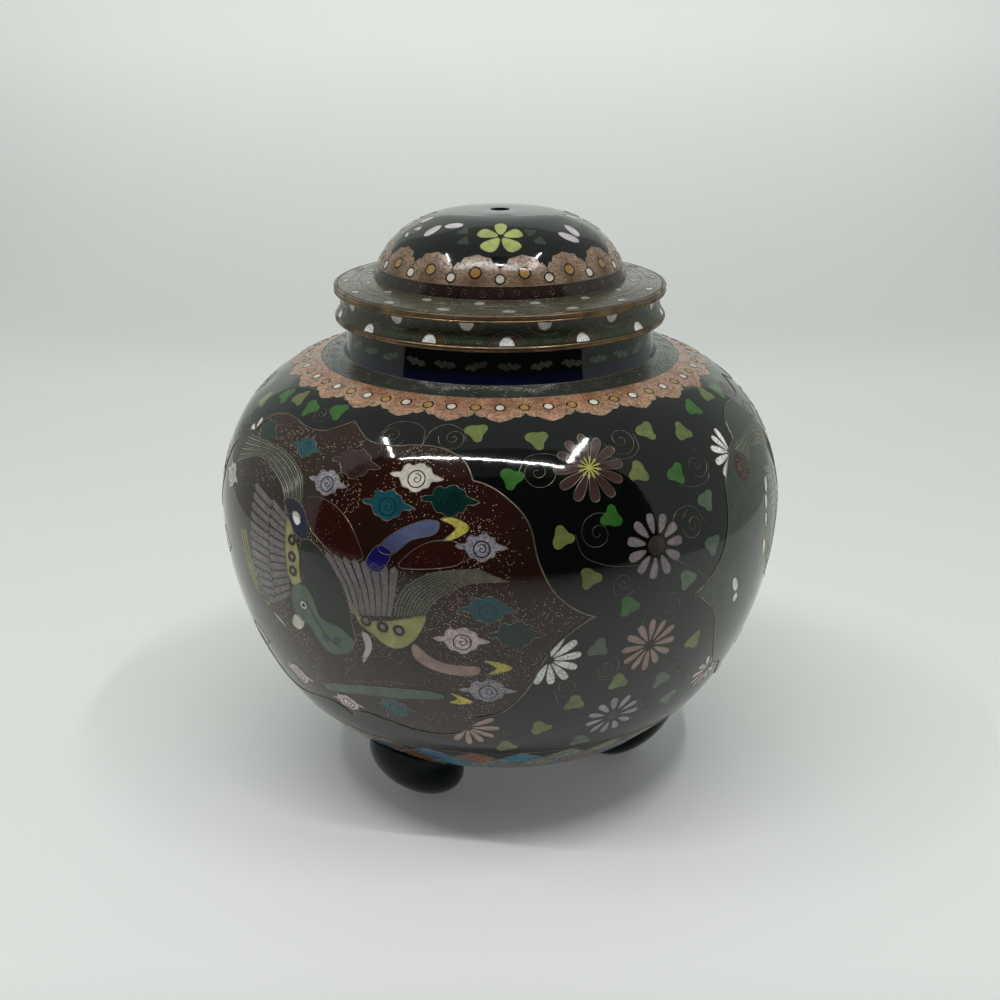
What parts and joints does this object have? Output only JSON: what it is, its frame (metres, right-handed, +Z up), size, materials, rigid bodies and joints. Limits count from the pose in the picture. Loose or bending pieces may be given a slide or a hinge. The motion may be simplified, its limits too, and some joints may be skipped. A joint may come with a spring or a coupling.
{
  "type": "lidded tripod jar",
  "caption": "Globular enamelled jar on short lobed feet, with a narrow neck and a loose domed lid that has a flat brim, a waisted skirt and an open finial hole.",
  "frame": {"origin": "centre of the plane that the feet stand on, on the jar's axis", "axes": "+Z up along the jar's axis; -Y towards the viewer, the side of the picture, with one foot at its left"},
  "size_m": [0.1, 0.1, 0.1025],
  "materials": {
    "body_enamel": "polished enamel with fine metal wires",
    "lid_enamel": "polished enamel with fine metal wires",
    "foot_enamel": "polished enamel",
    "copper": "worn satin copper"
  },
  "bodies": {
    "root": {"jar_body": "body_enamel", "mouth_rim": "copper", "lid": "lid_enamel", "brim_edge_band": "copper", "skirt_edge_band": "copper", "foot_front": "foot_enamel", "foot_right": "foot_enamel", "foot_back": "foot_enamel"}
  },
  "joints": []
}
